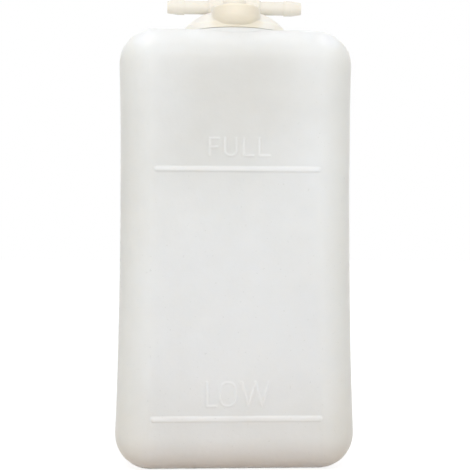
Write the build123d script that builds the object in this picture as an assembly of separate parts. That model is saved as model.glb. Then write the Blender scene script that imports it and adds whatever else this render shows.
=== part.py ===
from build123d import *
import math
import os

# Coolant expansion tank: a blown bottle with a push-on cap that carries two hose nipples.
# Millimetres, +Z up, origin at the centre of the base, the face with the level ribs towards -Y.

# Bottle
TANK_HEIGHT = 200.0
TANK_DEPTH = 64.0
BASE_WIDTH = 110.2  # across the side lines where they would meet the base
WAIST_WIDTH = 105.0
WAIST_HEIGHT = 113.0
TOP_WIDTH = 106.8  # across the side lines where they would meet the top
EDGE_RADIUS = 16.2  # every edge of the bottle
WALL = 2.2

# Mould lines of the bottle
PARTING_WIDTH = 0.8
PARTING_PROUD = 0.2
PINCH_WIDTH = 1.4
PINCH_PROUD = 0.9

# Push-up in the base
PUSH_UP_LENGTH = 56.0
PUSH_UP_WIDTH = 19.0
PUSH_UP_CORNER = 6.0
PUSH_UP_DEPTH = 2.0
PUSH_UP_TAPER = 12.0  # degrees

# Level ribs
RIB_RADIUS = 1.9
RIB_PROUD = 0.7
FULL_HEIGHT = 135.7
FULL_LENGTH = 73.8
LOW_HEIGHT = 24.8
LOW_LENGTH = 76.2

# Neck, seal and the fits between neck, seal and cap
NECK_RADIUS = 21.0
NECK_WALL = 2.4
NECK_RISE = 3.0  # rim above the top of the bottle
SEAT_MARGIN = 0.8  # cap's seat, level with the top, beyond the skirt
SEAL_THICKNESS = 1.2
CAP_CLEARANCE = 0.3  # radial, skirt to neck and plug to bore
SEAL_CLEARANCE = 0.3  # radial, seal to skirt and to plug

# Cap
SKIRT_WALL = 2.1
SKIRT_GAP = 0.3  # bottom of the skirt above its seat
DOME_RISE = 8.2
CROWN_FLAT = 5.0  # radius of the level middle of the dome
DOME_EDGE = 0.8  # round from the skirt to the dome
DOME_WALL = 2.2
PLUG_WALL = 1.8
PLUG_LENGTH = 6.6  # below the cap's ceiling
PLUG_LEAD = 0.8  # chamfer at the mouth of the plug
LIP_WIDTH = 22.2
LIP_REACH = 3.8  # beyond the skirt
LIP_THICKNESS = 9.0
LIP_EDGE = 1.0  # round of the upper edge
LIP_BOWL = 4.8  # round of the underside, back to the skirt
LIP_ROOT = 0.6  # round where the lip meets the dome
LIP_RISE = 0.9  # bottom of the lip above the bottom of the skirt

# Hub and hose nipples
HUB_RADIUS = 6.5
HUB_EDGE = 1.2
HUB_ROOT = 1.0  # round where the hub meets the dome
NIPPLE_RISE = 2.2  # axis of the nipples above the crown of the dome
NIPPLE_REACH = 31.5  # from the cap's axis to the tip
ROOT_RADIUS = 4.0
ROOT_REACH = 11.5
ROOT_TAPER = 1.2
SHANK_RADIUS = 3.2
BARB_RADIUS = 3.6
BARB_LENGTH = 8.0
BARB_LAND = 3.0
TIP_RADIUS = 2.9
NIPPLE_BORE_RADIUS = 2.0
VENT_RADIUS = 1.3
VENT_OFFSET = 8.8  # from the cap's axis, on the +X nipple

# Spigot and dip pipe
BOSS_RADIUS = 5.2
BOSS_LENGTH = 4.8  # below the crown's inner face
SPIGOT_RADIUS = 3.0
SPIGOT_LENGTH = 15.0
PIPE_CLEARANCE = 0.05
PIPE_WALL = 0.95
PIPE_END_GAP = 4.0  # tip of the pipe above the tank's inner floor
PIPE_CUT_ANGLE = 35.0  # degrees, of the slanted end

# Heights and radii that several pieces share
RIM_Z = TANK_HEIGHT + NECK_RISE
CEILING_Z = RIM_Z + SEAL_THICKNESS
NECK_BORE_RADIUS = NECK_RADIUS - NECK_WALL
SKIRT_BORE_RADIUS = NECK_RADIUS + CAP_CLEARANCE
SKIRT_RADIUS = SKIRT_BORE_RADIUS + SKIRT_WALL
PLUG_RADIUS = NECK_BORE_RADIUS - CAP_CLEARANCE
PLUG_BORE_RADIUS = PLUG_RADIUS - PLUG_WALL
SEAT_RADIUS = SKIRT_RADIUS + SEAT_MARGIN
SKIRT_BASE_Z = TANK_HEIGHT + SKIRT_GAP
PLUG_BASE_Z = CEILING_Z - PLUG_LENGTH
CROWN_Z = RIM_Z + DOME_RISE
NIPPLE_Z = CROWN_Z + NIPPLE_RISE
BOSS_BASE_Z = CROWN_Z - DOME_WALL - BOSS_LENGTH
SPIGOT_BASE_Z = BOSS_BASE_Z - SPIGOT_LENGTH
PIPE_BORE_RADIUS = SPIGOT_RADIUS + PIPE_CLEARANCE
PIPE_RADIUS = PIPE_BORE_RADIUS + PIPE_WALL
INNER_FLOOR_Z = PUSH_UP_DEPTH + WALL


def rod(radius, low_z, high_z):
    """Upright round bar on the cap's axis."""
    return Pos(0, 0, low_z) * extrude(Circle(radius), high_z - low_z)


def joined(base, piece, root_radius):
    """Base and piece as one solid, with a round along the line where they meet."""
    both = base + piece
    return fillet(new_edges(base, piece, combined=both), root_radius)


def front_outline(inset):
    """The bottle's front outline with sharp corners, moved inwards by inset."""
    base_x = BASE_WIDTH / 2 - inset
    waist_x = WAIST_WIDTH / 2 - inset
    top_x = TOP_WIDTH / 2 - inset
    top_z = TANK_HEIGHT - inset
    lines = Curve() + [
        Line((-base_x, inset), (base_x, inset)),
        ThreePointArc((base_x, inset), (waist_x, WAIST_HEIGHT), (top_x, top_z)),
        Line((top_x, top_z), (-top_x, top_z)),
        ThreePointArc((-top_x, top_z), (-waist_x, WAIST_HEIGHT), (-base_x, inset)),
    ]
    return make_face(lines)


def bottle_form(inset):
    """The bottle as a solid, with every face moved inwards by inset."""
    half_depth = TANK_DEPTH / 2 - inset
    form = extrude(Plane.XZ * front_outline(inset), half_depth, both=True)
    return fillet(form.edges(), EDGE_RADIUS - inset)


def push_up(grow):
    """Tapered pad that the base is pushed up by, grown by grow on its sides and top."""
    plan = RectangleRounded(PUSH_UP_LENGTH + 2 * grow, PUSH_UP_WIDTH + 2 * grow, PUSH_UP_CORNER + grow)
    return extrude(plan, PUSH_UP_DEPTH + grow, taper=PUSH_UP_TAPER)


def level_rib(height, length):
    """Round bar with ball ends, sunk in the front face so that it stands proud by RIB_PROUD."""
    sunk = RIB_RADIUS - RIB_PROUD
    axis_y = sunk - TANK_DEPTH / 2
    reach = length / 2 - math.sqrt(RIB_RADIUS**2 - sunk**2)
    bar = Rot(0, 90, 0) * Cylinder(RIB_RADIUS, 2 * reach)
    for end_x in (-reach, reach):
        bar += Pos(end_x, 0, 0) * Sphere(RIB_RADIUS)
    return Pos(0, axis_y, height) * bar


def parting_line():
    """Fine ridge up the sides and over the top, where the two halves of the mould met."""
    outline = front_outline(-PARTING_PROUD)
    outline = fillet(outline.vertices(), EDGE_RADIUS + PARTING_PROUD)
    band = extrude(Plane.XZ * outline, PARTING_WIDTH / 2, both=True)
    below = Pos(0, 0, EDGE_RADIUS) * Box(
        BASE_WIDTH * 2, TANK_DEPTH, TANK_HEIGHT, align=(Align.CENTER, Align.CENTER, Align.MAX)
    )
    return band - below


def pinch_seam():
    """Ridge along the push-up, where the mould pinched the tube of plastic shut."""
    length = PUSH_UP_LENGTH - 2 * PUSH_UP_CORNER
    seam = Box(length, PINCH_WIDTH, PINCH_PROUD + WALL / 2, align=(Align.CENTER, Align.CENTER, Align.MIN))
    return Pos(0, 0, PUSH_UP_DEPTH - PINCH_PROUD) * seam


def make_tank():
    """One blown shell: body, neck with the cap's seat, level ribs, mould lines and push-up."""
    body = bottle_form(0)
    body += parting_line()
    body += level_rib(FULL_HEIGHT, FULL_LENGTH)
    body += level_rib(LOW_HEIGHT, LOW_LENGTH)
    body += rod(SEAT_RADIUS, TANK_HEIGHT - EDGE_RADIUS, TANK_HEIGHT)
    body -= rod(SEAT_RADIUS, TANK_HEIGHT, RIM_Z)
    body += rod(NECK_RADIUS, TANK_HEIGHT - EDGE_RADIUS, RIM_Z)
    body -= push_up(0)
    body -= bottle_form(WALL) - push_up(WALL)
    body -= rod(NECK_BORE_RADIUS, TANK_HEIGHT - EDGE_RADIUS, RIM_Z)
    body += pinch_seam()
    return body


def make_cap_seal():
    """Flat ring on the neck's rim."""
    ring = Circle(SKIRT_BORE_RADIUS - SEAL_CLEARANCE) - Circle(PLUG_RADIUS + SEAL_CLEARANCE)
    return Pos(0, 0, RIM_Z) * extrude(ring, SEAL_THICKNESS)


def dome(inset):
    """Skirt and dome as one solid, moved inwards by inset.

    The dome's arc starts on the skirt and comes level at the flat disc in the middle.
    """
    radius = SKIRT_RADIUS - inset
    crown_z = CROWN_Z - inset
    arc_radius = ((SKIRT_RADIUS - CROWN_FLAT) ** 2 + DOME_RISE**2) / (2 * DOME_RISE)
    arc_z = CROWN_Z - arc_radius
    side_z = arc_z + math.sqrt((arc_radius - inset) ** 2 - (radius - CROWN_FLAT) ** 2)
    profile = Curve() + [
        Line((0, SKIRT_BASE_Z), (radius, SKIRT_BASE_Z)),
        Line((radius, SKIRT_BASE_Z), (radius, side_z)),
        RadiusArc((radius, side_z), (CROWN_FLAT, crown_z), inset - arc_radius),
        Line((CROWN_FLAT, crown_z), (0, crown_z)),
        Line((0, crown_z), (0, SKIRT_BASE_Z)),
    ]
    return revolve(Plane.XZ * make_face(profile), Axis.Z)


def finger_lip():
    """Half-round tongue at the front of the cap, to pull it off by.

    Its underside is rounded like a bowl, and is inside the skirt where it ends.
    """
    half = LIP_WIDTH / 2
    round_y = half - SKIRT_RADIUS - LIP_REACH
    outline = Circle(half) + Pos(0, -round_y / 2) * Rectangle(LIP_WIDTH, -round_y)
    tongue = extrude(Pos(0, round_y) * outline, LIP_THICKNESS)
    arcs = tongue.edges().filter_by(GeomType.CIRCLE).sort_by(Axis.Z)
    tongue = fillet(arcs[-1], LIP_EDGE)
    arcs = tongue.edges().filter_by(GeomType.CIRCLE).sort_by(Axis.Z)
    return Pos(0, 0, SKIRT_BASE_Z + LIP_RISE) * fillet(arcs[0], LIP_BOWL)


def nipple():
    """Barbed hose nipple along +X, from the cap's axis to its tip."""
    barb_x = NIPPLE_REACH - BARB_LENGTH
    profile = Polyline(
        (0, 0),
        (0, ROOT_RADIUS),
        (ROOT_REACH, ROOT_RADIUS),
        (ROOT_REACH + ROOT_TAPER, SHANK_RADIUS),
        (barb_x, SHANK_RADIUS),
        (barb_x, BARB_RADIUS),
        (barb_x + BARB_LAND, BARB_RADIUS),
        (NIPPLE_REACH, TIP_RADIUS),
        (NIPPLE_REACH, 0),
        close=True,
    )
    return Pos(0, 0, NIPPLE_Z) * revolve(Plane.XZ * make_face(profile), Axis.X)


def side_bore(reach_in):
    """Bore of the +X nipple, from its tip to reach_in from the cap's axis."""
    length = NIPPLE_REACH - reach_in
    bore = Cylinder(NIPPLE_BORE_RADIUS, length, align=(Align.CENTER, Align.CENTER, Align.MIN))
    return Pos(reach_in, 0, NIPPLE_Z) * Rot(0, 90, 0) * bore


def make_cap():
    """One moulding: dome, skirt, lip, hub, nipples, plug ring, boss and spigot, with its passages."""
    hub = rod(HUB_RADIUS, RIM_Z, NIPPLE_Z + SHANK_RADIUS)
    cap = dome(0)
    cap = fillet(cap.edges().filter_by(GeomType.CIRCLE).group_by(Axis.Z)[1], DOME_EDGE)
    cap = joined(cap, finger_lip(), LIP_ROOT)
    cap = joined(cap, fillet(hub.edges().group_by(Axis.Z)[-1], HUB_EDGE), HUB_ROOT)
    cap += nipple()
    cap += mirror(nipple(), Plane.YZ)
    cap -= dome(DOME_WALL) & rod(PLUG_BORE_RADIUS, SKIRT_BASE_Z, CROWN_Z)
    cap -= rod(SKIRT_BORE_RADIUS, SKIRT_BASE_Z, CEILING_Z) - rod(PLUG_BORE_RADIUS, SKIRT_BASE_Z, CEILING_Z)
    plug = rod(PLUG_RADIUS, PLUG_BASE_Z, CEILING_Z)
    plug = chamfer(plug.edges().group_by(Axis.Z)[0], PLUG_LEAD)
    cap += plug - rod(PLUG_BORE_RADIUS, PLUG_BASE_Z, CEILING_Z)
    cap += rod(BOSS_RADIUS, BOSS_BASE_Z, CROWN_Z)
    cap += rod(SPIGOT_RADIUS, SPIGOT_BASE_Z, BOSS_BASE_Z)
    cap -= rod(NIPPLE_BORE_RADIUS, SPIGOT_BASE_Z, NIPPLE_Z)
    cap -= mirror(side_bore(0), Plane.YZ)
    cap -= side_bore(VENT_OFFSET - VENT_RADIUS)
    cap -= Pos(VENT_OFFSET, 0, 0) * rod(VENT_RADIUS, CEILING_Z, NIPPLE_Z)
    return cap


def make_dip_pipe():
    """Straight pipe from the cap's boss to just above the floor, with its lower end cut on the slant."""
    tip_z = INNER_FLOOR_Z + PIPE_END_GAP
    pipe = rod(PIPE_RADIUS, tip_z, BOSS_BASE_Z) - rod(PIPE_BORE_RADIUS, tip_z, BOSS_BASE_Z)
    cut_rise = 2 * PIPE_RADIUS * math.tan(math.radians(PIPE_CUT_ANGLE))
    wedge = Polyline(
        (-PIPE_RADIUS, tip_z),
        (PIPE_RADIUS, tip_z),
        (PIPE_RADIUS, tip_z + cut_rise),
        close=True,
    )
    return pipe - extrude(Plane.XZ * make_face(wedge), PIPE_RADIUS, both=True)


PIECES = {
    "tank": make_tank,
    "cap": make_cap,
    "cap_seal": make_cap_seal,
    "dip_pipe": make_dip_pipe,
}

os.makedirs("parts", exist_ok=True)
for name, make in PIECES.items():
    export_step(make(), f"parts/{name}.step")
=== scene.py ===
import math

import bmesh
import bpy
import numpy as np
from bpy.props import FloatProperty, FloatVectorProperty, PointerProperty
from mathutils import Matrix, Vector


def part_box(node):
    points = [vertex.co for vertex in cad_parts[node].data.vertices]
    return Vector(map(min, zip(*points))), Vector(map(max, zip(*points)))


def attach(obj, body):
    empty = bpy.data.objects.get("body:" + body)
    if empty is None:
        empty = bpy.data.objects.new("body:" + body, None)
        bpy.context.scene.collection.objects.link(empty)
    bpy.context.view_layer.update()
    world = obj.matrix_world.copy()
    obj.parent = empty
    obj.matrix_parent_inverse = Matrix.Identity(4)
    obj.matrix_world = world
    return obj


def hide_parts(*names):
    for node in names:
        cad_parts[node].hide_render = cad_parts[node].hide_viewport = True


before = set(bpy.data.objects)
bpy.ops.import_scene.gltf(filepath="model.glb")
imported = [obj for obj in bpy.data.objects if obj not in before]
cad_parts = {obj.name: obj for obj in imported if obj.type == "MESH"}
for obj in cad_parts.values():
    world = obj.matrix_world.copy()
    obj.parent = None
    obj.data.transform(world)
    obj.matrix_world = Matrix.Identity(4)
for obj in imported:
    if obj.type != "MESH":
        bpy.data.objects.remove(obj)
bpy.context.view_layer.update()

bl_info = {
    "name": "Coolant Expansion Tank",
    "version": (1, 0, 0),
    "blender": (4, 5, 0),
    "location": "3D View > Sidebar > Expansion Tank",
    "description": "Blown bottle with level marks, cap finishes and a plain studio",
    "category": "Add Mesh",
}

TANK_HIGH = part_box("tank")[1]
SEAL_LOW, SEAL_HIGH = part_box("cap_seal")
MM = 0.001
WELD_DISTANCE = 0.002 * MM

# Vertex attribute that says how much a mark thickens the wall, and its highest values.
THICK = "thick"
RIB_THICK = 0.35
LETTER_THICK = 0.25

# A rib's line stops short of the rib's end by this share of the rib's half width.
RIB_END = 0.75

# Each word with the left and right edges of its letters, its lower and upper edge and the band of fine
# mesh lines about it, in millimetres.
WORDS = (
    ("FULL", ((-12.8, -7.9), (-6.1, 0.0), (2.3, 7.6), (9.3, 14.7)), (141.2, 149.6), (140.2, 150.8)),
    ("LOW", ((-13.6, -8.8), (-7.9, 0.1), (1.9, 14.7)), (30.1, 41.4), (29.1, 42.4)),
)

# Fine mesh lines reach this far below and above the middle of a rib.
RIB_MARGIN = 2.4 * MM

# Painted shade on the bottle's wall, from 0 to 1, by share of its height.
SHADE_BY_HEIGHT = (
    (0.0, 0.0), (0.03, 0.10), (0.09, 0.42), (0.16, 0.12), (0.25, 0.0), (0.45, 0.05), (0.60, 0.38),
    (0.70, 0.66), (0.78, 0.88), (0.87, 0.90), (0.925, 0.80), (0.95, 0.58), (0.97, 0.26), (0.985, 0.0),
)

# Slow waves of the blown wall: share, radians per metre along x, y and z, and phase.
WALL_WAVES = np.array([
    (0.5, 71, 0, 58, 1.3),
    (0.5, 71, 0, -58, 1.3),
    (0.6, 43, 0, 97, 0.4),
    (0.5, 0, 118, 36, 0.0),
    (0.4, -77, 0, 164, 2.0 + math.pi / 2),
])

# Spans of mesh lines from the middle to each side: station of the span's end, steps on the front and
# steps that go all round. What a station is, share_and_lean tells.
X_SPANS = (
    (0.42, 72, 6),  # letters
    (0.70, 4, 4),  # up to the hole for the neck
    (0.79, 6, 6),  # rim of the base's hollow
    (0.93, 3, 3),  # plain wall
    (1.0, 9, 1),  # ends of the ribs
    (1.2, 8, 1),  # ends of the ribs, past the flat
    (2.0, 6, 6),  # round of the edge
)

# Spans of mesh lines from the middle to front and back: station of the span's end and steps.
Y_SPANS = (
    (0.06, 5),  # parting line and pinched seam
    (0.46, 3),  # plain wall
    (0.62, 6),  # rim of the base's hollow
    (1.0, 3),  # plain wall
    (2.0, 7),  # round of the edge
)

# Spans of mesh lines from the base up: steps on the front and steps that go all round.
Z_SPANS = (
    (7, 7),  # round of the base's edge
    (3, 3),  # below the lower rib
    (27, 3),  # lower rib
    (2, 1),  # between rib and word
    (60, 5),  # lower word
    (24, 24),  # plain wall
    (27, 3),  # upper rib
    (3, 1),  # between rib and word
    (48, 4),  # upper word
    (9, 9),  # above the word
    (7, 7),  # round of the top's edge
)

# Stations of the hole in the top for the neck.
HOLE_X = 0.70
HOLE_Y = 1.85

# Rows of the neck's profile over each round, over the step to the cap's seat and from hole to circle.
ROUND_ROWS = 5
STEP_ROWS = 7
BLEND_ROWS = 9

# Span in which most values of a noise lie.
NOISE_SPAN = (0.3, 0.7)


def length(name, millimetres, description):
    """A length property, with its default given in millimetres."""
    return FloatProperty(
        name=name, description=description, default=millimetres * MM, unit="LENGTH", precision=5
    )


def angle(name, degrees, description):
    """An angle property, with its default given in degrees."""
    return FloatProperty(name=name, description=description, default=math.radians(degrees), unit="ROTATION")


def colour(name, default, description):
    """A colour property without transparency."""
    return FloatVectorProperty(
        name=name, description=description, default=default, size=3, min=0.0, max=1.0, subtype="COLOR"
    )


def place(name, millimetres, description):
    """A place property, with its default given in millimetres."""
    default = tuple(value * MM for value in millimetres)
    return FloatVectorProperty(
        name=name, description=description, default=default, size=3, precision=5, subtype="XYZ_LENGTH"
    )


def power(name, watts, description):
    """The power of a lamp."""
    return FloatProperty(name=name, description=description, default=watts, min=0.0, unit="POWER")


def brightness(name, default, description):
    """The brightness of a glow, where 1 is white."""
    return FloatProperty(name=name, description=description, default=default, min=0.0)


class BottleSizes(bpy.types.PropertyGroup):
    """Sizes of the blown bottle."""

    height: length("Height", 200.0, "From the base to the top of the bottle")
    depth: length("Depth", 64.0, "From the front face to the back face")
    base_width: length("Base width", 110.2, "Across the side lines where they would meet the base")
    waist_width: length("Waist width", 105.0, "Across the narrowest place")
    waist_height: length("Waist height", 113.0, "Height of the narrowest place")
    top_width: length("Top width", 106.8, "Across the side lines where they would meet the top")
    edge_radius: length("Edge radius", 16.2, "Round of every edge of the bottle")
    wall: length("Wall", 2.2, "Thickness of the blown wall")
    seat_radius: length("Seat radius", 24.2, "Round seat of the cap, level with the top, about the neck")
    seat_step: length("Seat step", 1.0, "Width of the rounded step at the rim of the seat")
    neck_radius: length("Neck radius", SEAL_HIGH.x / MM, "Outside of the neck")
    neck_wall: length("Neck wall", 2.4, "Thickness of the neck")
    neck_foot: length("Neck foot", 0.8, "Hollow round where the neck leaves the bottle")
    rim_round: length("Rim round", 0.5, "Round of the rim's edges")
    rim_height: length("Rim height", SEAL_LOW.z / MM, "Height of the neck's rim")
    parting_half_width: length("Parting half width", 0.5, "Half the width of the mould's parting line")
    parting_proud: length("Parting proud", 0.2, "How far the parting line stands out")
    push_up_length: length("Push-up length", 56.0, "Length of the hollow in the base")
    push_up_width: length("Push-up width", 19.0, "Width of the hollow in the base")
    push_up_corner: length("Push-up corner", 6.0, "Corner round of the hollow in the base")
    push_up_depth: length("Push-up depth", 2.0, "Depth of the hollow in the base")
    push_up_slope: length("Push-up slope", 1.8, "Width of the slope round the hollow")
    pinch_length: length("Pinch length", 44.0, "Length of the pinched seam in the base")
    pinch_half_width: length("Pinch half width", 0.9, "Half the width of the pinched seam")
    pinch_proud: length("Pinch proud", 0.9, "How far the pinched seam stands out")
    waviness: length("Waviness", 0.22, "Depth of the slow waves in the blown wall")


class LevelMarks(bpy.types.PropertyGroup):
    """Sizes of the raised level ribs and words."""

    rib_proud: length("Rib proud", 0.4, "How far the level ribs stand out")
    rib_half_width: length("Rib half width", 1.5, "Half the width of a rib with its soft foot")
    full_height: length("Full height", 135.7, "Height of the upper rib")
    full_length: length("Full length", 73.8, "Length of the upper rib")
    low_height: length("Low height", 24.8, "Height of the lower rib")
    low_length: length("Low length", 76.2, "Length of the lower rib")
    letter_proud: length("Letter proud", 0.27, "How far the letters stand out")
    letter_half_width: length("Letter half width", 0.85, "Half the width of a stroke with its soft foot")


class Finishes(bpy.types.PropertyGroup):
    """Colours of the four materials."""

    bottle: colour("Bottle", (0.886, 0.878, 0.845), "Milky plastic of the bottle")
    bottle_thick: colour("Bottle, thick", (0.91, 0.905, 0.885), "Where ribs and letters thicken the wall")
    # The next three colours are painted: shade by height, a highlight at the upper corners with light at the
    # foot, and warm shade at the upright edges.
    bottle_shaded: colour("Bottle, thin", (0.658, 0.645, 0.608), "Where the wall is blown thinner")
    bottle_painted_light: colour("Bottle, pale", (0.98, 0.96, 0.925), "At the upper corners and the foot")
    bottle_edge_shade: colour("Bottle, edges", (0.872, 0.843, 0.757), "At the upright edges")
    bottle_speck: colour("Bottle, specks", (0.66, 0.65, 0.60), "Fine specks in the bottle's plastic")
    cap: colour("Cap", (0.82, 0.79, 0.725), "Ivory plastic of the cap")
    cap_pale: colour("Cap, pale", (0.835, 0.815, 0.76), "Paler clouds in the cap's plastic")
    # Painted shade: a deeper ivory on the lip and on the skirt under it.
    cap_lip_shade: colour("Cap, lip", (0.75, 0.692, 0.575), "Deeper ivory in the thick of the lip")
    cap_nipple: colour("Cap, nipples", (0.715, 0.675, 0.60), "Deeper ivory of hub and nipples")
    cap_flow: colour("Cap, flow", (0.82, 0.74, 0.60), "Faint flow marks in the cap's plastic")
    seal: colour("Seal", (0.035, 0.035, 0.036), "Black rubber of the seal")
    seal_bloom: colour("Seal, bloom", (0.10, 0.10, 0.10), "Dusty bloom on the seal")
    pipe: colour("Dip pipe", (0.84, 0.84, 0.80), "Milky plastic of the dip pipe")
    pipe_cloud: colour("Dip pipe, clouds", (0.78, 0.77, 0.71), "Faint clouds in the dip pipe's plastic")


class ShadeSizes(bpy.types.PropertyGroup):
    """Where the colours of bottle and cap change, painted shade and highlights among them."""

    # Painted warm shade at the upright edges.
    edge_shade_start: length("Edge start", 32.0, "Where the edges' colour begins, out from the middle")
    edge_shade_end: length("Edge end", 53.0, "Where the edges' colour is full")
    # Painted shade on the wall: how it fades to the sides and where its darkest place lies.
    shade_fade_start: length("Thin start", 4.0, "Where the thin wall begins to fade, out from its middle")
    shade_fade_end: length("Thin end", 60.0, "Where the thin wall has faded")
    side_shade_low: length("Thin low", 95.0, "Height below which the wall is as thin at the sides")
    side_shade_high: length("Thin high", 125.0, "Height above which the wall is less thin at the sides")
    drift: length("Drift", 18.0, "How far left the thinnest place lies lower down")
    shade_drift_low: length("Drift low", 125.0, "Height below which the thinnest place lies left")
    shade_drift_high: length("Drift high", 170.0, "Height above which the thinnest place is in the middle")
    # Painted highlight at each upper corner and painted light at the foot.
    corner: place("Pale corner", (41.2, 27.4, 194.7), "Middle of the pale place at each upper corner")
    corner_highlight_core: length("Corner core", 1.0, "How far a corner is fully pale")
    corner_highlight_reach: length("Corner reach", 8.0, "How far a corner's pale place reaches")
    foot_light_core: length("Foot core", 0.5, "Height up to which the foot is fully pale")
    foot_light_reach: length("Foot reach", 5.0, "Height up to which the foot is pale")
    hub_low: length("Hub low", 209.2, "Height where the hub's colour begins")
    hub_high: length("Hub high", 211.6, "Height where the hub's colour is full")
    # Painted shade at the lip and on the skirt under it.
    lip: place("Lip", (0.0, -21.0, 205.0), "Middle of the lip's deeper colour")
    lip_shade_core: length("Lip core", 9.286, "How far the lip's colour is full")
    lip_shade_reach: length("Lip reach", 13.571, "How far the lip's colour reaches")


class StageSizes(bpy.types.PropertyGroup):
    """Camera, lamps, floor and surroundings."""

    camera_place: place("Camera", (-28.96, -521.2, 106.36), "Where the camera stands")
    camera_turn: angle("Turn", 3.268, "How far the camera looks to the right of straight ahead")
    camera_roll: angle("Roll", 0.22, "How far the camera is rolled to the left")
    camera_lens: FloatProperty(
        name="Lens", description="Focal length in millimetres", default=84.74, unit="CAMERA"
    )
    lamp_size: length("Lamp size", 1400.0, "Side of each square lamp")
    front_lamp_place: place("Front lamp", (-60.0, -900.0, 160.0), "Where the front lamp stands")
    front_lamp_power: power("Front lamp power", 8.5, "Power of the front lamp")
    high_lamp_place: place("High lamp", (-150.0, -350.0, 1100.0), "Where the high lamp hangs")
    high_lamp_power: power("High lamp power", 3.3, "Power of the high lamp")
    back_lamp_place: place("Back lamp", (120.0, 900.0, 300.0), "Where the back lamp stands")
    back_lamp_power: power("Back lamp power", 2.5, "Power of the back lamp")
    room_light: brightness("Room light", 0.72, "Strength of the light all round")
    floor_size: length("Floor size", 8000.0, "Side of the square floor")
    floor_glow: brightness("Floor glow", 0.85, "Brightness of the seen floor in full shadow")
    floor_shade: colour("Floor shade", (0.25, 0.25, 0.25), "What light adds to the seen floor")
    floor_bounce: colour("Floor bounce", (0.62, 0.61, 0.60), "Colour that the wide floor throws back")
    floor_warmth: colour("Floor warmth", (0.56, 0.45, 0.36), "Colour that the floor by the tank throws back")
    floor_warm_reach: length("Warm reach", 220.0, "How far the warm floor reaches from the tank's middle")


def share_and_lean(stations):
    """Split stations into a place on the core and a lean of the normal.

    From -1 to 1 a station is a share of the flat's half size. Past that the place stays at the flat's
    edge and the lean is the tangent of the turn, up to 1 at station 2, which is 45 degrees round.
    """
    shares = np.clip(stations, -1, 1)
    return shares, np.tan((stations - shares) * math.pi / 4)


def side_circle(sizes):
    """Centre x and z and radius of the circle through the right side line at base, waist and top.

    Equal distance from the centre to the three points gives two linear equations.
    """
    x = np.array([sizes.base_width, sizes.waist_width, sizes.top_width]) / 2
    z = np.array([0.0, sizes.waist_height, sizes.height])
    slopes = np.stack([np.diff(x), np.diff(z)], axis=-1)
    centre_x, centre_z = np.linalg.solve(slopes, np.diff(x * x + z * z) / 2)
    return centre_x, centre_z, math.hypot(centre_x - x[1], centre_z - z[1])


def skin(sizes, x, y, z, inset):
    """Points and unit normals of the bottle's skin, for stations along the three axes.

    The core is the bottle drawn in by its edge radius, with the side circle grown by the same radius.
    The normal is the sum of the side, depth and height directions, each times its lean, made one long.
    The point is the core's point plus the normal times edge radius less inset.
    """
    across, lean_x = share_and_lean(x)
    deep, lean_y = share_and_lean(y)
    up, lean_z = share_and_lean(z)
    centre_x, centre_z, radius = side_circle(sizes)
    reach = radius + sizes.edge_radius
    core_z = sizes.height / 2 + up * (sizes.height / 2 - sizes.edge_radius)
    core_x = centre_x - np.sqrt(reach**2 - (core_z - centre_z) ** 2)
    side_x = (centre_x - core_x) / reach
    side_z = (centre_z - core_z) / reach
    rise = lean_z + np.abs(lean_x) * side_z
    normal = np.stack(np.broadcast_arrays(lean_x * side_x, lean_y, rise), axis=-1)
    normal /= np.linalg.norm(normal, axis=-1, keepdims=True)
    core_y = deep * (sizes.depth / 2 - sizes.edge_radius)
    core = np.stack(np.broadcast_arrays(across * core_x, core_y, core_z), axis=-1)
    return core + (sizes.edge_radius - inset) * normal, normal


def top_height(sizes, y, inset):
    """Height of the bottle's top at y near the neck: level, then the quarter round of the long edges."""
    over = np.clip(np.abs(y) - (sizes.depth / 2 - sizes.edge_radius), 0, None)
    return sizes.height - sizes.edge_radius + np.sqrt((sizes.edge_radius - inset) ** 2 - over**2)


def smooth_step(value, start, end):
    """0 before start, 1 after end, and 3t^2 - 2t^3 between them."""
    t = np.clip((value - start) / (end - start), 0, 1)
    return t * t * (3 - 2 * t)


def bead(distance, half_width, order=2):
    """Height of a soft-footed bead as a share: (1 - (d / w)^order)^2 within its half width, and 0 outside.

    At order 2 the bead is round, and at higher orders it is flat on top.
    """
    return np.clip(1 - np.abs(distance / half_width) ** order, 0, None) ** 2


def spaced(stops, counts):
    """Stations from stop to stop, each span cut into its count of equal steps."""
    spans = zip(stops[:-1], stops[1:], counts)
    steps = [np.linspace(start, end, count, endpoint=False) for start, end, count in spans]
    return np.concatenate(steps + [stops[-1:]])


def both_sides(stations):
    """Stations of the positive half, mirrored to the negative half."""
    return np.concatenate([-stations[:0:-1], stations])


def nearest(stations, target):
    """Number of the station nearest to a target."""
    return int(np.abs(stations - target).argmin())


def stroke_distance(x, z, strokes):
    """Distance from every x, z to the nearest straight stroke, each given as x0, z0, x1, z1."""
    run_x = strokes[:, 2] - strokes[:, 0]
    run_z = strokes[:, 3] - strokes[:, 1]
    from_x = x[..., None] - strokes[:, 0]
    from_z = z[..., None] - strokes[:, 1]
    along = np.clip((from_x * run_x + from_z * run_z) / (run_x**2 + run_z**2), 0, 1)
    return np.hypot(from_x - along * run_x, from_z - along * run_z).min(axis=-1)


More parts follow.
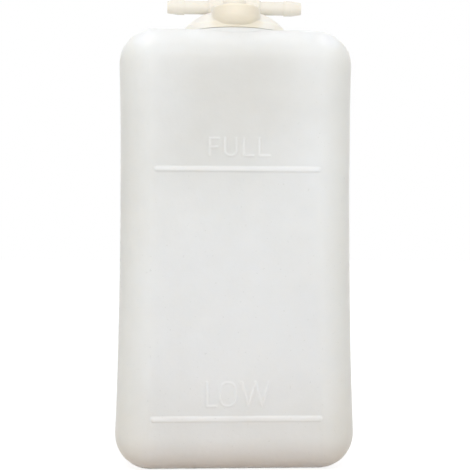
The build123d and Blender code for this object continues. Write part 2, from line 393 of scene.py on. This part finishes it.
def letter_lines(letter):
    """The lines of a letter in a box of one by one, each as an array of points.

    O is a circle with its cosine and sine raised to the power 0.8, and U ends in half an oval.
    """
    turn = np.linspace(0, 2 * math.pi, 33)
    bowl = np.linspace(math.pi, 2 * math.pi, 13)
    circle = np.stack([np.cos(turn), np.sin(turn)], axis=-1)
    squarish = 0.5 + 0.5 * np.sign(circle) * np.abs(circle) ** 0.8
    cup = np.stack([0.5 + 0.5 * np.cos(bowl), 0.3 + 0.3 * np.sin(bowl)], axis=-1)
    lines = {
        "F": [[(0, 0), (0, 1), (1, 1)], [(0, 0.5), (0.85, 0.5)]],
        "L": [[(0, 1), (0, 0), (1, 0)]],
        "O": [squarish],
        "U": [np.concatenate([[(0, 1)], cup, [(1, 1)]])],
        "W": [[(0, 1), (0.25, 0), (0.5, 1), (0.75, 0), (1, 1)]],
    }
    return [np.array(line, float) for line in lines[letter]]


def word_strokes(half_width):
    """All letters of the level words as straight strokes, drawn in by the strokes' half width."""
    strokes = []
    for word, edges, (low, high), _ in WORDS:
        for letter, (left, right) in zip(word, edges):
            corner = np.array([left, low]) * MM + half_width
            size = np.array([right - left, high - low]) * MM - 2 * half_width
            for line in letter_lines(letter):
                points = corner + line * size
                strokes.append(np.concatenate([points[:-1], points[1:]], axis=1))
    return np.concatenate(strokes)


def level_relief(marks, x, z):
    """Height of ribs and letters over the front face: the higher of the beads along ribs and strokes.

    Returned with it is the share by which the marks thicken the wall.
    """
    ribs = np.zeros_like(x)
    for rib_z, rib_length in ((marks.full_height, marks.full_length), (marks.low_height, marks.low_length)):
        reach = rib_length / 2 - RIB_END * marks.rib_half_width
        rib = np.array([[-reach, rib_z, reach, rib_z]])
        ribs = np.maximum(ribs, bead(stroke_distance(x, z, rib), marks.rib_half_width, order=4))
    strokes = word_strokes(marks.letter_half_width / 2)
    letters = bead(stroke_distance(x, z, strokes), marks.letter_half_width)
    relief = np.maximum(marks.rib_proud * ribs, marks.letter_proud * letters)
    return relief, np.maximum(RIB_THICK * ribs, LETTER_THICK * letters)


def wall_waves(sizes, points):
    """Slow inward waves of the blown wall, at most as deep as its waviness, none at base and shoulders.

    Each wave is its share times the sine of the place along its direction plus its phase.
    """
    shares, directions, phases = WALL_WAVES[:, 0], WALL_WAVES[:, 1:4], WALL_WAVES[:, 4]
    waves = np.sin(points @ directions.T + phases) @ (shares / shares.sum())
    rise = points[..., 2] / sizes.height
    fade = smooth_step(rise, 0.01, 0.10) * smooth_step(rise, 0.95, 0.87)
    return -sizes.waviness * fade * (1 + waves) / 2


def parting_ridge(sizes, points):
    """Ridge of the mould's parting line in the middle of sides and top, fading out at base and neck."""
    x, y, z = np.moveaxis(points, -1, 0)
    rim = sizes.seat_radius + sizes.seat_step / 2
    fade = smooth_step(z, 0.8 * sizes.edge_radius, 1.2 * sizes.edge_radius)
    fade = fade * smooth_step(np.hypot(x, y), rim, rim + sizes.seat_step)
    return sizes.parting_proud * fade * bead(y, sizes.parting_half_width)


def push_up_rise(sizes, points, grow):
    """Rise of the base's hollow: a smooth step over the distance inside a rounded rectangle."""
    x, y = points[..., 0], points[..., 1]
    past_x = np.abs(x) - (sizes.push_up_length / 2 - sizes.push_up_corner)
    past_y = np.abs(y) - (sizes.push_up_width / 2 - sizes.push_up_corner)
    outside = np.hypot(np.clip(past_x, 0, None), np.clip(past_y, 0, None))
    inside = np.minimum(np.maximum(past_x, past_y), 0)
    distance = outside + inside - sizes.push_up_corner - grow
    return sizes.push_up_depth * smooth_step(-distance, 0, sizes.push_up_slope)


def pinch_seam(sizes, points):
    """Bead of the pinched seam along the middle of the base's hollow."""
    x, y = points[..., 0], points[..., 1]
    half_length = sizes.pinch_length / 2
    ends = smooth_step(np.abs(x), half_length, half_length - 2 * sizes.pinch_half_width)
    return sizes.pinch_proud * ends * bead(y, sizes.pinch_half_width)


def base_share(normal):
    """1 where the skin looks straight down, and 0 on the rounds."""
    return smooth_step(-normal[..., 2], 0.9, 1.0)


def outer_skin(sizes, x, y, z):
    """Points and normals of the outer skin, for stations.

    Waves, parting line, base hollow and pinched seam move the points along the normal.
    """
    points, normal = skin(sizes, x, y, z, 0.0)
    lift = wall_waves(sizes, points) + parting_ridge(sizes, points)
    lift += base_share(normal) * (pinch_seam(sizes, points) - push_up_rise(sizes, points, 0.0))
    return points + lift[..., None] * normal, normal


def inner_skin(sizes, x, y, z):
    """Points and normals of the inner skin, for stations.

    It is the skin one wall further in, with the base's hollow grown by the wall.
    """
    points, normal = skin(sizes, x, y, z, sizes.wall)
    lift = -base_share(normal) * push_up_rise(sizes, points, sizes.wall)
    return points + lift[..., None] * normal, normal


def grid_faces(ids):
    """Four-sided faces of a grid of vertex numbers, pointing along first axis times second axis."""
    return np.stack([ids[:-1, :-1], ids[1:, :-1], ids[1:, 1:], ids[:-1, 1:]], axis=-1)


def zip_faces(rim, line, stops):
    """Triangles between a rim that has vertices only at stops and the next line, which has them all.

    Each step of the line makes a triangle with the stop before it, and each step of the rim one with the
    line's vertex at its far stop.
    """
    last = len(line) - 1
    steps = np.arange(1, last - 1)
    before = rim[stops[np.searchsorted(stops, steps, side="right") - 1]]
    fans = np.stack([before, line[steps + 1], line[steps]], axis=-1)
    far = line[np.clip(stops[1:], 1, last - 1)]
    gaps = np.stack([rim[stops[:-1]], rim[stops[1:]], far], axis=-1)
    return np.concatenate([fans, gaps])


class Shell:
    """Vertices and faces of one closed skin, gathered patch by patch."""

    def __init__(self):
        self.points = []
        self.thick = []
        self.faces = []
        self.count = 0

    def number(self, points, thick=0.0):
        """Keep a grid of points and the share by which each is thickened, and return their numbers."""
        ids = self.count + np.arange(points[..., 0].size).reshape(points.shape[:-1])
        self.points.append(points.reshape(-1, 3))
        self.thick.append(np.broadcast_to(thick, ids.shape).ravel())
        self.count += ids.size
        return ids

    def cover(self, faces, flip=False):
        """Keep faces, turned round if flip is set."""
        flat = faces.reshape(-1, faces.shape[-1])
        self.faces += (flat[:, ::-1] if flip else flat).tolist()

    def build(self, name):
        """Make the mesh object, with vertices at the same place welded and loose ones dropped."""
        mesh = bpy.data.meshes.new(name)
        mesh.from_pydata(np.concatenate(self.points), [], self.faces)
        thick = mesh.attributes.new(THICK, "FLOAT", "POINT")
        thick.data.foreach_set("value", np.concatenate(self.thick))
        work = bmesh.new()
        work.from_mesh(mesh)
        bmesh.ops.remove_doubles(work, verts=work.verts, dist=WELD_DISTANCE)
        loose = [vert for vert in work.verts if not vert.link_faces]
        bmesh.ops.delete(work, geom=loose, context="VERTS")
        work.to_mesh(mesh)
        work.free()
        mesh.polygons.foreach_set("use_smooth", np.ones(len(mesh.polygons), bool))
        piece = bpy.data.objects.new(name, mesh)
        bpy.context.scene.collection.objects.link(piece)
        return piece


def mark_bands(marks):
    """Heights where fine mesh lines begin and end, about each rib and each word, from the base up."""
    heights = []
    for rib in (marks.full_height, marks.low_height):
        heights += [rib - RIB_MARGIN, rib + RIB_MARGIN]
    for _, _, _, band in WORDS:
        heights += [height * MM for height in band]
    return np.sort(heights)


def bottle_lines(sizes, marks):
    """Stations along the axes: fine x and z lines for the front, and the line numbers that go all round.

    Lines crowd at the marks, the ends of the ribs, the rims of the base's hollow and the parting line.
    """
    ends, fine, wide = zip(*X_SPANS)
    x_stops = np.array([0, *ends])
    fine_x = both_sides(spaced(x_stops, fine))
    wide_x = both_sides(spaced(x_stops, wide))

    fine, wide = zip(*Z_SPANS)
    bands = (mark_bands(marks) - sizes.height / 2) / (sizes.height / 2 - sizes.edge_radius)
    z_stops = np.array([-2, -1, *bands, 1, 2])
    fine_z = spaced(z_stops, fine)
    wide_z = spaced(z_stops, wide)

    ends, steps = zip(*Y_SPANS)
    wide_y = both_sides(spaced(np.array([0, *ends]), steps))
    stops_x = np.abs(fine_x[:, None] - wide_x).argmin(axis=0)
    stops_z = np.abs(fine_z[:, None] - wide_z).argmin(axis=0)
    return fine_x, fine_z, wide_y, stops_x, stops_z


def front_face(shell, sizes, marks, x, z, stops_x, stops_z):
    """Front of the bottle on fine lines, with ribs and letters, zipped to the lines that go all round."""
    grid_x, grid_z = np.meshgrid(x, z, indexing="ij")
    points, normal = outer_skin(sizes, grid_x, np.full_like(grid_x, -2.0), grid_z)
    relief, thick = level_relief(marks, points[..., 0], points[..., 2])
    ids = shell.number(points + relief[..., None] * normal, thick)
    shell.cover(grid_faces(ids[1:-1, 1:-1]))
    shell.cover(zip_faces(ids[:, 0], ids[:, 1], stops_x))
    shell.cover(zip_faces(ids[-1], ids[-2], stops_z))
    shell.cover(zip_faces(ids[:, -1], ids[:, -2], stops_x), flip=True)
    shell.cover(zip_faces(ids[0], ids[1], stops_z), flip=True)


def plain_face(shell, make, axis, end, first, second, flip):
    """One face of the bottle as a plain grid: the station on axis is end, the other two are lines."""
    grids = np.meshgrid(first, second, indexing="ij")
    grids.insert(axis, np.full_like(grids[0], end))
    points, _ = make(*grids)
    shell.cover(grid_faces(shell.number(points)), flip)


def pierced_top(shell, make, x, y, flip):
    """Top of the bottle with a hole for the neck; returns the hole's rim as a loop of points."""
    grid_x, grid_y = np.meshgrid(x, y, indexing="ij")
    points, _ = make(grid_x, grid_y, np.full_like(grid_x, 2.0))
    left, right = nearest(x, -HOLE_X), nearest(x, HOLE_X)
    near, far = nearest(y, -HOLE_Y), nearest(y, HOLE_Y)
    kept = np.ones((len(x) - 1, len(y) - 1), bool)
    kept[left:right, near:far] = False
    shell.cover(grid_faces(shell.number(points))[kept], flip)
    across = np.arange(left, right)
    deep = np.arange(near, far)
    loop_x = [across, np.full(deep.size, right), across[::-1] + 1, np.full(deep.size, left)]
    loop_y = [np.full(across.size, near), deep, np.full(across.size, far), deep[::-1] + 1]
    return points[np.concatenate(loop_x), np.concatenate(loop_y)]


def neck(shell, sizes, outer_loop, inner_loop):
    """Neck as a profile carried round its axis, from the outer rim of the top's hole to the inner one.

    Rows run over the top, over the step to the cap's seat, up the neck, over its rim, down the bore and
    under the top. The step is a smooth step from the top's height to the seat's.
    Between a loop and a circle the plan is a straight blend, and its height is the top's height there.
    """
    heading = np.arctan2(outer_loop[:, 1], outer_loop[:, 0])
    compass = np.stack([np.cos(heading), np.sin(heading)], axis=-1)
    bore = sizes.neck_radius - sizes.neck_wall
    quarter = np.linspace(0, math.pi / 2, ROUND_ROWS)[:, None]
    step = np.linspace(0, 1, STEP_ROWS)[:, None]
    blend = np.linspace(0, 1, BLEND_ROWS)[:, None, None]

    seat_rim = sizes.seat_radius + sizes.seat_step / 2
    edge_plan = outer_loop[:, :2] * (1 - blend) + compass * seat_rim * blend
    edge_z = top_height(sizes, edge_plan[..., 1], 0.0)
    on_top = np.concatenate([edge_plan, edge_z[..., None]], axis=-1)
    on_top[..., 2] += parting_ridge(sizes, on_top)

    roof_plan = compass * (bore + sizes.rim_round) * (1 - blend) + inner_loop[:, :2] * blend
    roof_z = top_height(sizes, roof_plan[..., 1], sizes.wall)
    under_top = np.concatenate([roof_plan, roof_z[..., None]], axis=-1)

    radii = [
        sizes.seat_radius + sizes.seat_step * (0.5 - step),
        sizes.neck_radius + sizes.neck_foot * (1 - np.sin(quarter)),
        sizes.neck_radius - sizes.rim_round * (1 - np.cos(quarter)),
        bore + sizes.rim_round * (1 - np.sin(quarter)),
        bore + sizes.rim_round * (1 - np.cos(quarter)),
    ]
    heights = [
        on_top[-1, :, 2] + (sizes.height - on_top[-1, :, 2]) * smooth_step(step, 0, 1),
        sizes.height + sizes.neck_foot * (1 - np.cos(quarter)),
        sizes.rim_height - sizes.rim_round * (1 - np.sin(quarter)),
        sizes.rim_height - sizes.rim_round * (1 - np.cos(quarter)),
        under_top[0, :, 2] + sizes.rim_round * (1 - np.sin(quarter)),
    ]
    rows = [on_top]
    for radius, height in zip(radii, heights):
        plan = radius[..., None] * compass
        tall = np.broadcast_to(height, plan.shape[:-1])
        rows.append(np.concatenate([plan, tall[..., None]], axis=-1))
    ids = shell.number(np.concatenate(rows + [under_top]))
    shell.cover(grid_faces(np.concatenate([ids, ids[:, :1]], axis=1)), flip=True)


def make_bottle(sizes, marks):
    """The blown bottle as one closed skin: outer faces, neck and inner faces."""
    shell = Shell()
    fine_x, fine_z, y, stops_x, stops_z = bottle_lines(sizes, marks)
    x = fine_x[stops_x]
    z = fine_z[stops_z]

    def outer(*stations):
        return outer_skin(sizes, *stations)

    def inner(*stations):
        return inner_skin(sizes, *stations)

    front_face(shell, sizes, marks, fine_x, fine_z, stops_x, stops_z)
    plain_face(shell, inner, 1, -2.0, x, z, True)
    loops = []
    for make, inside in ((outer, False), (inner, True)):
        plain_face(shell, make, 1, 2.0, x, z, not inside)
        plain_face(shell, make, 0, 2.0, y, z, inside)
        plain_face(shell, make, 0, -2.0, y, z, not inside)
        plain_face(shell, make, 2, -2.0, x, y, not inside)
        loops.append(pierced_top(shell, make, x, y, inside))
    neck(shell, sizes, *loops)
    return shell.build("blown_bottle")


class Nodes:
    """A node tree, with short calls to add and join its nodes."""

    def __init__(self, tree):
        self.tree = tree

    def add(self, kind, **settings):
        """Add a node and set its properties."""
        node = self.tree.nodes.new(kind)
        for key, value in settings.items():
            setattr(node, key, value)
        return node

    def join(self, source, target):
        """Join an output to an input."""
        self.tree.links.new(source, target)

    def give(self, value, target):
        """Join a socket to an input, or set the input to a number or colour."""
        if isinstance(value, bpy.types.NodeSocket):
            self.join(value, target)
        else:
            target.default_value = value

    def ranged(self, source, span, to=(0.0, 1.0)):
        """Map a value from a span to two other values, clamped and smooth."""
        node = self.add("ShaderNodeMapRange", interpolation_type="SMOOTHSTEP")
        for socket, value in zip(("From Min", "From Max", "To Min", "To Max"), (*span, *to)):
            node.inputs[socket].default_value = value
        self.join(source, node.inputs["Value"])
        return node.outputs["Result"]

    def ramp(self, source, points):
        """Map a value through a smooth curve over points, each a place and a value from 0 to 1."""
        node = self.add("ShaderNodeValToRGB")
        node.color_ramp.interpolation = "B_SPLINE"
        stops = node.color_ramp.elements
        while len(stops) < len(points):
            stops.new(0.5)
        for stop, (position, value) in zip(stops, points):
            stop.position = position
            stop.color = (value, value, value, 1.0)
        self.join(source, node.inputs["Fac"])
        return node.outputs["Color"]

    def math(self, operation, first, second=0.0):
        """A maths node on two sockets or numbers."""
        node = self.add("ShaderNodeMath", operation=operation)
        self.give(first, node.inputs[0])
        self.give(second, node.inputs[1])
        return node.outputs["Value"]

    def mixed(self, factor, first, second):
        """Mix a colour, given as a socket or numbers, with a colour given as numbers, by a factor socket.

        The node's inputs 6 and 7 and its output 2 are those for colours.
        """
        node = self.add("ShaderNodeMix", data_type="RGBA")
        self.join(factor, node.inputs["Factor"])
        self.give(first if isinstance(first, bpy.types.NodeSocket) else (*first, 1.0), node.inputs[6])
        self.give((*second, 1.0), node.inputs[7])
        return node.outputs[2]


class Finish(Nodes):
    """A material with one main shader, worked out from the object's own place."""

    def __init__(self, name):
        self.material = bpy.data.materials.new(name)
        self.material.use_nodes = True
        super().__init__(self.material.node_tree)
        self.tree.nodes.clear()
        self.shader = self.add("ShaderNodeBsdfPrincipled")
        output = self.add("ShaderNodeOutputMaterial")
        self.join(self.shader.outputs["BSDF"], output.inputs["Surface"])
        self.object_place = self.add("ShaderNodeTexCoord").outputs["Object"]

    def along(self, axis):
        """Object place along one axis."""
        split = self.add("ShaderNodeSeparateXYZ")
        self.join(self.object_place, split.inputs["Vector"])
        return split.outputs[axis]

    def away_from(self, spot, mirrored=False):
        """Distance from a spot or, if mirrored, from the nearest of it and its mirror images."""
        source = self.object_place
        if mirrored:
            folded = self.add("ShaderNodeVectorMath", operation="ABSOLUTE")
            self.join(source, folded.inputs[0])
            source = folded.outputs["Vector"]
        distance = self.add("ShaderNodeVectorMath", operation="DISTANCE")
        self.join(source, distance.inputs[0])
        distance.inputs[1].default_value = spot
        return distance.outputs["Value"]

    def noise(self, scale, detail, roughness=0.5, stretch=(1.0, 1.0, 1.0)):
        """Noise over the object's place, with its axes stretched, from 0 to 1."""
        mapping = self.add("ShaderNodeMapping")
        mapping.inputs["Scale"].default_value = stretch
        self.join(self.object_place, mapping.inputs["Vector"])
        node = self.add("ShaderNodeTexNoise")
        node.inputs["Scale"].default_value = scale
        node.inputs["Detail"].default_value = detail
        node.inputs["Roughness"].default_value = roughness
        self.join(mapping.outputs["Vector"], node.inputs["Vector"])
        return node.outputs["Fac"]

    def bump(self, height, distance, strength):
        """Bump from a height socket, joined to the shader."""
        node = self.add("ShaderNodeBump")
        node.inputs["Distance"].default_value = distance
        node.inputs["Strength"].default_value = strength
        self.join(height, node.inputs["Height"])
        self.join(node.outputs["Normal"], self.shader.inputs["Normal"])

    def milky(self, weight, radius):
        """Let light into the plastic, by the weight and the radius of its scatter."""
        self.shader.inputs["Subsurface Weight"].default_value = weight
        self.shader.inputs["Subsurface Radius"].default_value = radius
        self.shader.inputs["Subsurface Scale"].default_value = 1.0
        self.shader.inputs["IOR"].default_value = 1.5

    def drive(self, socket, source):
        """Join a source to one of the shader's sockets."""
        self.join(source, self.shader.inputs[socket])


def painted_wall_shade(finish, shades, height):
    """Painted shade on the bottle: by height, and higher up less towards the sides, with faint clouds.

    The darkest shade lies in the middle near the top, and further left lower down.
    """
    z = finish.along("Z")
    by_height = finish.ramp(finish.math("DIVIDE", z, height), SHADE_BY_HEIGHT)
    drift = finish.ranged(z, (shades.shade_drift_low, shades.shade_drift_high), (-shades.drift, 0.0))
    aside = finish.math("ABSOLUTE", finish.math("SUBTRACT", finish.along("X"), drift))
    fade = finish.ranged(aside, (shades.shade_fade_start, shades.shade_fade_end), (-0.05, 0.88))
    upper = finish.ranged(z, (shades.side_shade_low, shades.side_shade_high))
    middle = finish.math("SUBTRACT", 1.0, finish.math("MULTIPLY", fade, upper))
    cloud = finish.ranged(finish.noise(scale=26.0, detail=3.0, roughness=0.55), NOISE_SPAN, (-0.08, 0.12))
    return finish.math("ADD", finish.math("MULTIPLY", by_height, middle), cloud)


def bottle_plastic(colours, shades, height):
    """Milky satin plastic with fine specks and an orange-peel bump.

    Painted shade makes its upright edges warmer and its wall darker by height, and a painted highlight and
    painted light make its upper corners and foot paler.
    """
    finish = Finish("tank_plastic")
    # Painted warm shade at the upright edges, then painted shade by height.
    edge = finish.ranged(finish.math("ABSOLUTE", finish.along("X")), (shades.edge_shade_start, shades.edge_shade_end))
    body = finish.mixed(edge, colours.bottle, colours.bottle_edge_shade)
    body = finish.mixed(painted_wall_shade(finish, shades, height), body, colours.bottle_shaded)
    # Painted highlight at each upper corner and painted light at the foot.
    from_highlight = finish.away_from(shades.corner, mirrored=True)
    corner_highlight = finish.ranged(from_highlight, (shades.corner_highlight_core, shades.corner_highlight_reach), (1.0, 0.0))
    foot_light = finish.ranged(finish.along("Z"), (shades.foot_light_core, shades.foot_light_reach), (1.0, 0.0))
    body = finish.mixed(finish.math("MAXIMUM", corner_highlight, foot_light), body, colours.bottle_painted_light)
    thick = finish.add("ShaderNodeAttribute", attribute_name=THICK).outputs["Fac"]
    body = finish.mixed(thick, body, colours.bottle_thick)
    speck = finish.ranged(finish.noise(scale=900.0, detail=1.0), (0.72, 0.78), (0.0, 0.35))
    finish.drive("Base Color", finish.mixed(speck, body, colours.bottle_speck))
    finish.drive("Roughness", finish.ranged(finish.noise(scale=140.0, detail=3.0), NOISE_SPAN, (0.36, 0.46)))
    finish.bump(finish.noise(scale=420.0, detail=3.0), distance=0.2 * MM, strength=0.25)
    finish.milky(weight=1.0, radius=(7.0 * MM, 6.5 * MM, 6.0 * MM))
    return finish.material


def cap_plastic(colours, shades):
    """Ivory moulded plastic with paler clouds, faint flow marks and a fine spark-grain bump.

    Hub and nipples are deeper in colour, and painted shade deepens the lip and the skirt under it.
    """
    finish = Finish("cap_plastic")
    cloud = finish.ranged(finish.noise(scale=60.0, detail=3.0), (0.35, 0.65))
    body = finish.mixed(cloud, colours.cap, colours.cap_pale)
    at_hub = finish.ranged(finish.along("Z"), (shades.hub_low, shades.hub_high), (0.0, 0.85))
    body = finish.mixed(at_hub, body, colours.cap_nipple)
    # Painted shade: deeper ivory at the lip and on the skirt under it.
    lip_and_shade = finish.ranged(finish.away_from(shades.lip), (shades.lip_shade_core, shades.lip_shade_reach), (1.0, 0.0))
    body = finish.mixed(lip_and_shade, body, colours.cap_lip_shade)
    streaks = finish.noise(scale=1.0, detail=3.0, roughness=0.6, stretch=(90.0, 400.0, 260.0))
    flow = finish.ranged(streaks, (0.55, 0.75), (0.0, 0.25))
    finish.drive("Base Color", finish.mixed(flow, body, colours.cap_flow))
    finish.drive("Roughness", finish.ranged(finish.noise(scale=300.0, detail=2.0), NOISE_SPAN, (0.34, 0.46)))
    finish.bump(finish.noise(scale=1500.0, detail=2.0), distance=0.1 * MM, strength=0.2)
    finish.milky(weight=0.25, radius=(3.0 * MM, 2.4 * MM, 1.6 * MM))
    return finish.material


def seal_rubber(colours):
    """Matt black rubber: dusty bloom in patches and a fine pitted bump."""
    finish = Finish("seal_rubber")
    bloom = finish.ranged(finish.noise(scale=180.0, detail=4.0, roughness=0.6), (0.45, 0.75), (0.0, 0.5))
    finish.drive("Base Color", finish.mixed(bloom, colours.seal, colours.seal_bloom))
    finish.drive("Roughness", finish.ranged(finish.noise(scale=500.0, detail=2.0), NOISE_SPAN, (0.55, 0.75)))
    finish.bump(finish.noise(scale=2500.0, detail=2.0), distance=0.1 * MM, strength=0.3)
    return finish.material


def pipe_plastic(colours):
    """Milky extruded tube: fine draw lines along its length and faint clouds."""
    finish = Finish("pipe_plastic")
    cloud = finish.ranged(finish.noise(scale=70.0, detail=2.0), NOISE_SPAN, (0.0, 0.6))
    finish.drive("Base Color", finish.mixed(cloud, colours.pipe, colours.pipe_cloud))
    draw = finish.noise(scale=1.0, detail=2.0, stretch=(1800.0, 1800.0, 12.0))
    finish.drive("Roughness", finish.ranged(draw, NOISE_SPAN, (0.28, 0.42)))
    finish.bump(draw, distance=0.1 * MM, strength=0.25)
    finish.milky(weight=0.3, radius=(3.0 * MM, 2.8 * MM, 2.2 * MM))
    return finish.material


def dress(node, material):
    """Give a CAD node its finished material in place of the plain one."""
    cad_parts[node].data.materials.clear()
    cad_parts[node].data.materials.append(material)


class TANK_OT_bottle(bpy.types.Operator):
    """Make the blown bottle with its level marks, in place of the plain solid"""

    bl_idname = "expansion_tank.bottle"
    bl_label = "Make Bottle"

    def execute(self, context):
        scene = context.scene
        sizes = scene.tank_bottle
        bottle = make_bottle(sizes, scene.tank_marks)
        bottle.data.materials.append(bottle_plastic(scene.tank_finishes, scene.tank_shades, sizes.height))
        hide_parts("tank")
        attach(bottle, "tank")
        return {"FINISHED"}


class TANK_OT_cap(bpy.types.Operator):
    """Finish the cap in ivory moulded plastic"""

    bl_idname = "expansion_tank.cap"
    bl_label = "Finish Cap"

    def execute(self, context):
        dress("cap", cap_plastic(context.scene.tank_finishes, context.scene.tank_shades))
        return {"FINISHED"}


class TANK_OT_seal(bpy.types.Operator):
    """Finish the seal in matt black rubber"""

    bl_idname = "expansion_tank.seal"
    bl_label = "Finish Seal"

    def execute(self, context):
        dress("cap_seal", seal_rubber(context.scene.tank_finishes))
        return {"FINISHED"}


class TANK_OT_dip_pipe(bpy.types.Operator):
    """Finish the dip pipe in milky extruded plastic"""

    bl_idname = "expansion_tank.dip_pipe"
    bl_label = "Finish Dip Pipe"

    def execute(self, context):
        dress("dip_pipe", pipe_plastic(context.scene.tank_finishes))
        return {"FINISHED"}


def add_camera(stage):
    """Camera level with the bottle's middle, a little to its left, at the distance that the sizes give."""
    data = bpy.data.cameras.new("camera")
    data.lens = stage.camera_lens
    camera = bpy.data.objects.new("camera", data)
    camera.location = stage.camera_place
    camera.rotation_euler = (math.pi / 2, -stage.camera_roll, -stage.camera_turn)
    bpy.context.scene.collection.objects.link(camera)
    bpy.context.scene.camera = camera


def add_lamp(name, spot, size, watts):
    """Square soft lamp that faces the middle of the tank."""
    data = bpy.data.lights.new(name, "AREA")
    data.size = size
    data.energy = watts
    lamp = bpy.data.objects.new(name, data)
    lamp.location = spot
    middle = Vector((0.0, 0.0, TANK_HIGH.z / 2))
    lamp.rotation_euler = (middle - Vector(spot)).to_track_quat("-Z", "Y").to_euler()
    bpy.context.scene.collection.objects.link(lamp)


def seen_straight(nodes):
    """1 for rays from the camera or off gloss or through glass, and 0 for the others."""
    rays = nodes.add("ShaderNodeLightPath").outputs
    seen = nodes.math("MAXIMUM", rays["Is Camera Ray"], rays["Is Glossy Ray"])
    return nodes.math("MAXIMUM", seen, rays["Is Transmission Ray"])


def floor_paint(stage):
    """Pale paint: nearly white with a soft shadow where it is seen, and warm in what it throws back."""
    material = bpy.data.materials.new("floor")
    material.use_nodes = True
    nodes = Nodes(material.node_tree)
    nodes.tree.nodes.clear()
    distance = nodes.add("ShaderNodeVectorMath", operation="LENGTH")
    nodes.join(nodes.add("ShaderNodeTexCoord").outputs["Object"], distance.inputs[0])
    far = nodes.ranged(distance.outputs["Value"], (0.0, stage.floor_warm_reach))
    bounce = nodes.add("ShaderNodeBsdfDiffuse")
    nodes.join(nodes.mixed(far, stage.floor_warmth, stage.floor_bounce), bounce.inputs["Color"])
    shade = nodes.add("ShaderNodeBsdfDiffuse")
    shade.inputs["Color"].default_value = (*stage.floor_shade, 1.0)
    glow = nodes.add("ShaderNodeEmission")
    glow.inputs["Strength"].default_value = stage.floor_glow
    seen = nodes.add("ShaderNodeAddShader")
    nodes.join(shade.outputs["BSDF"], seen.inputs[0])
    nodes.join(glow.outputs["Emission"], seen.inputs[1])
    mix = nodes.add("ShaderNodeMixShader")
    nodes.join(seen_straight(nodes), mix.inputs["Fac"])
    nodes.join(bounce.outputs["BSDF"], mix.inputs[1])
    nodes.join(seen.outputs["Shader"], mix.inputs[2])
    output = nodes.add("ShaderNodeOutputMaterial")
    nodes.join(mix.outputs["Shader"], output.inputs["Surface"])
    return material


def add_floor(stage):
    """Square floor that the tank stands on."""
    half = stage.floor_size / 2
    corners = [(-half, -half, 0), (half, -half, 0), (half, half, 0), (-half, half, 0)]
    mesh = bpy.data.meshes.new("floor")
    mesh.from_pydata(corners, [], [(0, 1, 2, 3)])
    mesh.materials.append(floor_paint(stage))
    floor = bpy.data.objects.new("floor", mesh)
    bpy.context.scene.collection.objects.link(floor)


def add_room(stage):
    """White surroundings where they are seen, and even light of the room's strength elsewhere."""
    world = bpy.data.worlds.new("room")
    world.use_nodes = True
    bpy.context.scene.world = world
    nodes = Nodes(world.node_tree)
    background = nodes.tree.nodes["Background"]
    background.inputs["Color"].default_value = (1.0, 1.0, 1.0, 1.0)
    level = nodes.ranged(seen_straight(nodes), (0.0, 1.0), (stage.room_light, 1.0))
    nodes.join(level, background.inputs["Strength"])


class TANK_OT_stage(bpy.types.Operator):
    """Set up camera, lamps, floor and surroundings"""

    bl_idname = "expansion_tank.stage"
    bl_label = "Set Up Stage"

    def execute(self, context):
        stage = context.scene.tank_stage
        add_camera(stage)
        add_lamp("front_lamp", stage.front_lamp_place, stage.lamp_size, stage.front_lamp_power)
        add_lamp("high_lamp", stage.high_lamp_place, stage.lamp_size, stage.high_lamp_power)
        add_lamp("back_lamp", stage.back_lamp_place, stage.lamp_size, stage.back_lamp_power)
        add_floor(stage)
        add_room(stage)
        context.scene.view_settings.view_transform = "Standard"
        return {"FINISHED"}


class TANK_PT_panel(bpy.types.Panel):
    """Sizes, colours and steps of the expansion tank"""

    bl_idname = "TANK_PT_panel"
    bl_label = "Expansion Tank"
    bl_space_type = "VIEW_3D"
    bl_region_type = "UI"
    bl_category = "Expansion Tank"

    def draw(self, context):
        for operator in OPERATORS:
            self.layout.operator(operator.bl_idname)
        for group in SETTINGS:
            box = self.layout.box()
            settings = getattr(context.scene, group)
            for key in settings.bl_rna.properties.keys():
                if key not in ("rna_type", "name"):
                    box.prop(settings, key)


SETTINGS = {
    "tank_bottle": BottleSizes,
    "tank_marks": LevelMarks,
    "tank_finishes": Finishes,
    "tank_shades": ShadeSizes,
    "tank_stage": StageSizes,
}
OPERATORS = (TANK_OT_bottle, TANK_OT_cap, TANK_OT_seal, TANK_OT_dip_pipe, TANK_OT_stage)


def register():
    for group in SETTINGS.values():
        bpy.utils.register_class(group)
    for key, group in SETTINGS.items():
        setattr(bpy.types.Scene, key, PointerProperty(type=group))
    for operator in OPERATORS:
        bpy.utils.register_class(operator)
    bpy.utils.register_class(TANK_PT_panel)


def unregister():
    bpy.utils.unregister_class(TANK_PT_panel)
    for operator in reversed(OPERATORS):
        bpy.utils.unregister_class(operator)
    for key, group in SETTINGS.items():
        delattr(bpy.types.Scene, key)
        bpy.utils.unregister_class(group)


def main():
    """Make every piece and the stage."""
    register()
    bpy.ops.expansion_tank.bottle()
    bpy.ops.expansion_tank.cap()
    bpy.ops.expansion_tank.seal()
    bpy.ops.expansion_tank.dip_pipe()
    bpy.ops.expansion_tank.stage()


if __name__ == "__main__":
    main()
